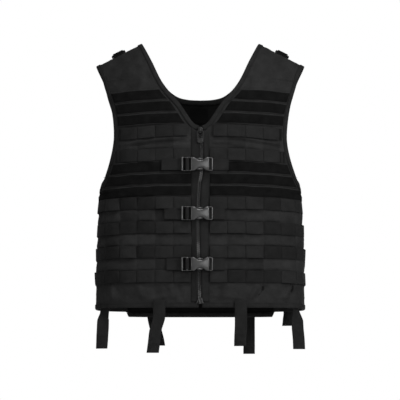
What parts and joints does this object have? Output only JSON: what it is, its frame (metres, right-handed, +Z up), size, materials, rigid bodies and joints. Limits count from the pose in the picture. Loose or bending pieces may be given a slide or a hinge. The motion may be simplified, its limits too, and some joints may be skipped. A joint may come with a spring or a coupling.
{
  "type": "load-bearing vest",
  "caption": "Padded nylon vest with a front zip, side-release buckles, rows of bar-tacked webbing, hook-and-loop patches, belt straps and shoulder D-rings.",
  "frame": {"origin": "midway between the two shoulder seams, at their mean height: where the vest sits on the shoulders", "axes": "+Z up, -Y the front with the zip, +X the wearer's left"},
  "size_m": [0.4498, 0.2555, 0.6674],
  "materials": {
    "cloth": "plain-woven coated nylon, matt",
    "webbing": "ribbed woven nylon webbing",
    "binding": "folded grosgrain tape",
    "loop_pile": "loop pile of hook-and-loop tape",
    "zip_chain": "moulded zip teeth",
    "zip_metal": "black painted zinc casting",
    "buckle_plastic": "moulded acetal, satin",
    "ring_plastic": "moulded, glossy",
    "label": "smooth woven label, bare"
  },
  "bodies": {
    "vest": {"armhole_binding_left": "binding", "armhole_binding_right": "binding", "back_panel": "cloth", "back_webbing_1": "webbing", "back_webbing_2": "webbing", "back_webbing_3": "webbing", "back_webbing_4": "webbing", "back_webbing_5": "webbing", "back_webbing_6": "webbing", "belt_strap_left_back": "webbing", "belt_strap_left_front": "webbing", "belt_strap_left_side_back": "webbing", "belt_strap_left_side_front": "webbing", "belt_strap_right_back": "webbing", "belt_strap_right_front": "webbing", "belt_strap_right_side_back": "webbing", "belt_strap_right_side_front": "webbing", "buckle_prong_1": "buckle_plastic", "buckle_prong_2": "buckle_plastic", "buckle_prong_3": "buckle_plastic", "buckle_socket_1": "buckle_plastic", "buckle_socket_2": "buckle_plastic", "buckle_socket_3": "buckle_plastic", "buckle_web_1_left": "webbing", "buckle_web_1_right": "webbing", "buckle_web_2_left": "webbing", "buckle_web_2_right": "webbing", "buckle_web_3_left": "webbing", "buckle_web_3_right": "webbing", "front_panel_left": "cloth", "front_panel_right": "cloth", "front_webbing_1_left": "webbing", "front_webbing_1_right": "webbing", "front_webbing_2_left": "webbing", "front_webbing_2_right": "webbing", "front_webbing_3_left": "webbing", "front_webbing_3_right": "webbing", "front_webbing_4_left": "webbing", "front_webbing_4_right": "webbing", "front_webbing_5_left": "webbing", "front_webbing_5_right": "webbing", "front_webbing_6_left": "webbing", "front_webbing_6_right": "webbing", "hem_binding": "binding", "middle_loop_tapes_left": "loop_pile", "middle_loop_tapes_right": "loop_pile", "neck_binding": "binding", "neck_label": "label", "placket_left": "cloth", "placket_right": "cloth", "ring_keeper_left": "webbing", "ring_keeper_right": "webbing", "upper_loop_tapes_left": "loop_pile", "upper_loop_tapes_right": "loop_pile", "zip_slider_bottom": "zip_metal", "zip_slider_top": "zip_metal", "zip_teeth": "zip_chain"},
    "ring_left": {"shoulder_ring_left": "ring_plastic"},
    "ring_right": {"shoulder_ring_right": "ring_plastic"},
    "pull": {"zip_pull": "zip_metal"}
  },
  "joints": [
    {"name": "ring_left_swing", "type": "hinge", "parent": "vest", "child": "ring_left", "pos_m": [-0.17725, 0.007, 0.00668], "axis": [0.8926, 0, 0.4509], "range_deg": [-5, 185]},
    {"name": "ring_right_swing", "type": "hinge", "parent": "vest", "child": "ring_right", "pos_m": [0.17725, 0.007, 0.00668], "axis": [0.8926, 0, -0.4509], "range_deg": [-5, 185]},
    {"name": "pull_swing", "type": "hinge", "parent": "vest", "child": "pull", "pos_m": [0, -0.1255, -0.1795], "axis": [-1, 0, 0], "range_deg": [0, 175]}
  ]
}
